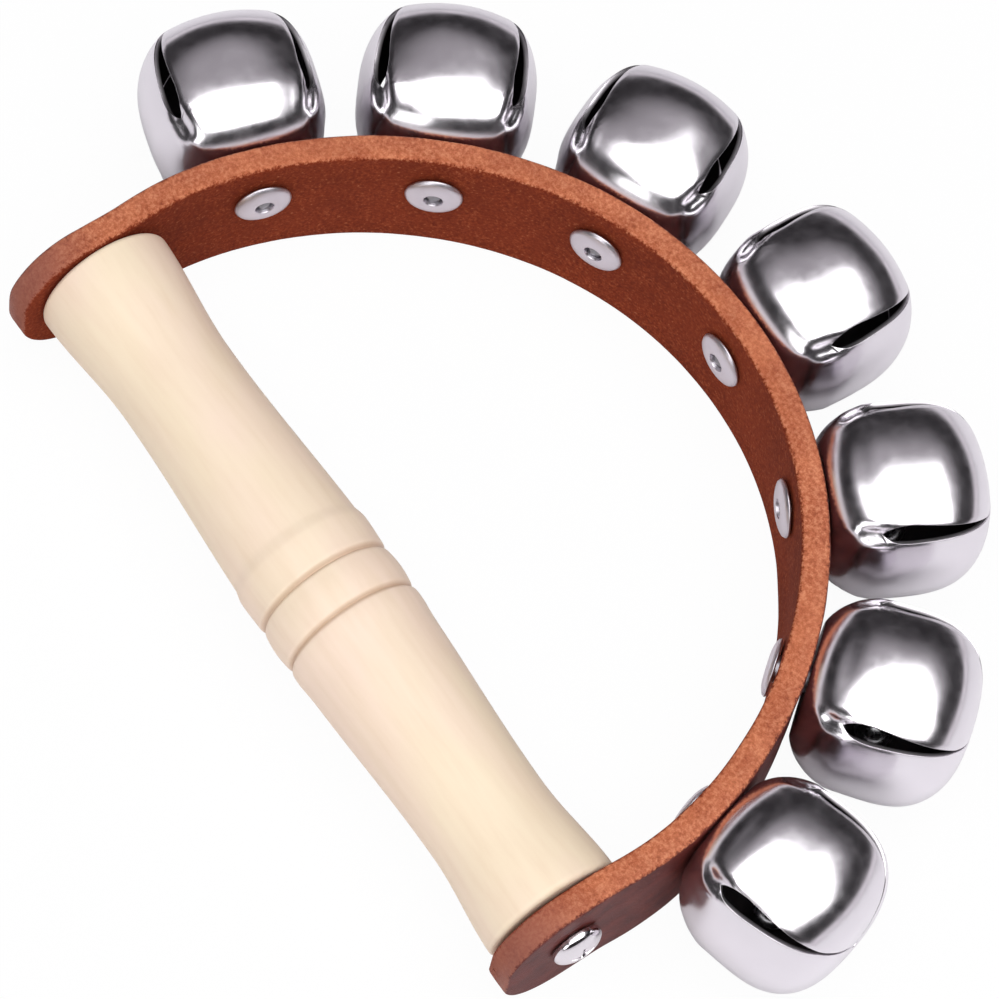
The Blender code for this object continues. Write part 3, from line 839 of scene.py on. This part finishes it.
def makeHandle(finish):
    half, rounding = handle["length"] / 2, handle["endRounding"]
    bore = screw["shankRadius"] + touchGap
    holeEnd = half - screw["depth"] - touchGap
    roundEnd = half - rounding
    corner = handle["endRadius"] - rounding
    cornerSteps = 8
    profile = [(0.0, -holeEnd), (bore, -holeEnd), (bore, -half)]
    for index in range(cornerSteps):
        angle = index / cornerSteps * math.pi / 2
        profile.append((corner + rounding * math.sin(angle), -half + rounding * (1 - math.cos(angle))))
    count = round(2 * roundEnd / handle["step"])
    for index in range(count + 1):
        x = -roundEnd + 2 * roundEnd * index / count
        profile.append((handleRadius(x), x))
    for index in reversed(range(cornerSteps)):
        angle = index / cornerSteps * math.pi / 2
        profile.append((corner + rounding * math.sin(angle), half - rounding * (1 - math.cos(angle))))
    profile += [(bore, half), (bore, holeEnd), (0.0, holeEnd)]
    mesh = latheMesh("turnedHandle", profile, handle["segments"], sharpDegrees=50.0)
    # painted shade darkens the wood in the cut grooves
    shade = mesh.attributes.new("grooveShade", "FLOAT", "POINT")
    shade.data.foreach_set("value", [
        max(hump(vertex.co.z - groove, 1.1 * handle["grooveHalfWidth"]) for groove in handle["grooves"])
        for vertex in mesh.vertices])
    mesh.transform(handleTurn(1))
    mesh.materials.append(finish)
    standFor(linkObject("turnedHandle", mesh), "handle", mainBody)


def recessCutter(top):
    # cross-shaped prism with slightly tapered arms
    long, short = screw["recessLength"] / 2, screw["recessWidth"] / 2
    outline = []
    for turn in range(4):
        spin = Matrix.Rotation(turn * math.pi / 2, 2)
        outline += [spin @ Vector(point) for point in ((long, -0.7 * short), (long, 0.7 * short), (short, short))]
    shape = bmesh.new()
    low = shape.faces.new([shape.verts.new((x * 0.7, y * 0.7, top - screw["recessDepth"])) for x, y in outline])
    grown = bmesh.ops.extrude_face_region(shape, geom=[low])
    lifted = [item for item in grown["geom"] if isinstance(item, bmesh.types.BMVert)]
    for vertex in lifted:
        vertex.co = Vector((vertex.co.x / 0.7, vertex.co.y / 0.7, top + screw["recessDepth"]))
    return finishMesh("recessCutter", shape)


def makeScrews(finish):
    start = legOffset + strap["thickness"] / 2 + touchGap + screw["headRadius"] * math.sin(slant)
    tip = handle["length"] / 2 - screw["depth"]
    shank, head = screw["shankRadius"], screw["headRadius"]
    profile = [(0.0, tip), (shank, tip + screw["point"]), (shank, start), (head, start),
               (head, start + screw["rim"])]
    domeSteps = 14
    rise = screw["headHeight"] - screw["rim"]
    for index in range(1, domeSteps):
        angle = index / domeSteps * math.pi / 2
        profile.append((head * math.cos(angle), start + screw["rim"] + rise * math.sin(angle)))
    top = start + screw["headHeight"]
    profile.append((0.0, top))
    for side, word in ((-1, "Left"), (1, "Right")):
        made = linkObject(f"crossScrew{word}", latheMesh("crossScrew", profile, screw["segments"]))
        cutter = linkObject("recessCutter", recessCutter(top))
        cut = made.modifiers.new("recess", "BOOLEAN")
        cut.operation = "DIFFERENCE"
        cut.solver = "EXACT"
        cut.object = cutter
        rim = made.modifiers.new("rim", "BEVEL")
        rim.width = 0.1 * millimetre
        rim.segments = 2
        rim.limit_method = "ANGLE"
        rim.angle_limit = math.radians(45)
        settle(made, finish)
        bpy.data.objects.remove(cutter)
        made.data.transform(handleTurn(side))
        standFor(made, f"screw_{word.lower()}", mainBody)


print("bells")
makeBells(makeMetal("brightNickel", (0.82, 0.79, 0.83), 0.17, 0.09, 0.03, paintedShadeInside=True))
print("pellets")
makePellets(makeMetal("pelletSteel", (0.60, 0.60, 0.61), 0.20, 0.12, 0.05))
print("rivets and pins")
makeRivets(makeMetal("satinNickel", (0.66, 0.63, 0.68), 0.30, 0.14, 0.10),
           makeMetal("pinSteel", (0.30, 0.30, 0.32), 0.35, 0.2, 0.5))
print("strap")
makeStrap(makeLeather())
print("handle and screws")
makeHandle(makePaleWood())
makeScrews(makeMetal("screwNickel", (0.80, 0.77, 0.80), 0.10, 0.08, 0.05))


# Floor, light and camera

studio = {
    "floorSize": 6.0,
    "floorColour": (0.84, 0.83, 0.85),
    "floorWhite": 0.96,                   # share of plain white that the camera sees there
    "horizon": (0.86, 0.82, 0.86),
    "dim": (0.022, 0.020, 0.022),
    "zenith": (0.36, 0.34, 0.36),
    "horizonTop": 0.12,
    "dimFrom": 0.20,
    "dimTo": 0.62,
    "zenithFrom": 0.82,
    "softboxPlace": (0.19, -0.06, 0.84),
    "softboxSize": (1.16, 0.98),
    "softboxPower": 9.4,
    "fillPlace": (0.33, -0.86, 0.47),
    "fillSize": (0.48, 0.40),
    "fillPower": 1.5,
    "lens": 174.38,
    "cameraFromHandle": (0.21603, -0.20006, 0.64589),
    "cameraRight": (0.57699, 0.81082, 0.09824),
    "cameraUp": (-0.76070, 0.48970, 0.42610),
    "cameraBack": (0.29736, -0.32061, 0.89933),
}


def makeFloor():
    size = studio["floorSize"] / 2
    mesh = bpy.data.meshes.new("floor")
    mesh.from_pydata([(-size, -size, 0), (size, -size, 0), (size, size, 0), (-size, size, 0)],
                     [], [(0, 1, 2, 3)])
    floor = linkObject("floor", mesh)
    floor.location.z = -0.2 * millimetre
    made, tree, shader = newMaterial("paleFloor")
    shader.inputs["Base Color"].default_value = (*studio["floorColour"], 1)
    shader.inputs["Roughness"].default_value = 0.9
    rays = addNode(tree, "ShaderNodeLightPath").outputs
    white = addNode(tree, "ShaderNodeEmission", {"Color": (1, 1, 1, 1), "Strength": 1.0})
    share = maths(tree, "MULTIPLY", rays["Is Camera Ray"], studio["floorWhite"])
    mix = addNode(tree, "ShaderNodeMixShader", {0: share, 1: shader.outputs[0], 2: white.outputs[0]})
    tree.links.new(mix.outputs[0], tree.nodes["Material Output"].inputs["Surface"])
    mesh.materials.append(made)


def makeLamp(name, place, size, power):
    data = bpy.data.lights.new(name, "AREA")
    data.shape = "RECTANGLE"
    data.size, data.size_y = size
    data.energy = power
    lamp = linkObject(name, data)
    lamp.location = place
    lamp.rotation_euler = (-Vector(place)).to_track_quat("-Z", "Y").to_euler()


def makeWorld():
    # a bright horizon, dim walls and a grey ceiling, for the bells to mirror
    world = bpy.data.worlds.new("softRoom")
    bpy.context.scene.world = world
    world.use_nodes = True
    tree = world.node_tree
    place = addNode(tree, "ShaderNodeTexCoord").outputs["Generated"]
    height = addNode(tree, "ShaderNodeSeparateXYZ", {0: place}).outputs["Z"]
    sky = colourRamp(tree, height, ((studio["horizonTop"], studio["horizon"]),
                                    (studio["dimFrom"], studio["dim"]),
                                    (studio["dimTo"], studio["dim"]),
                                    (studio["zenithFrom"], studio["zenith"])))
    back = tree.nodes["Background"]
    tree.links.new(sky, back.inputs["Color"])
    rays = addNode(tree, "ShaderNodeLightPath").outputs
    plain = addNode(tree, "ShaderNodeBackground", {"Color": (1, 1, 1, 1), "Strength": 1.0})
    mix = addNode(tree, "ShaderNodeMixShader",
                  {0: rays["Is Camera Ray"], 1: back.outputs[0], 2: plain.outputs[0]})
    tree.links.new(mix.outputs[0], tree.nodes["World Output"].inputs["Surface"])


def makeCamera():
    data = bpy.data.cameras.new("camera")
    data.lens = studio["lens"]
    data.sensor_width = 36.0
    data.clip_start, data.clip_end = 0.01, 50.0
    camera = linkObject("camera", data)
    turn = Matrix((studio["cameraRight"], studio["cameraUp"], studio["cameraBack"])).transposed()
    place = handleMiddle + Vector(studio["cameraFromHandle"])
    camera.matrix_world = Matrix.Translation(place) @ turn.to_4x4()
    bpy.context.scene.camera = camera


print("floor, light and camera")
makeFloor()
makeLamp("softbox", studio["softboxPlace"], studio["softboxSize"], studio["softboxPower"])
makeLamp("fill", studio["fillPlace"], studio["fillSize"], studio["fillPower"])
makeWorld()
makeCamera()
bpy.context.scene.view_settings.view_transform = "Standard"
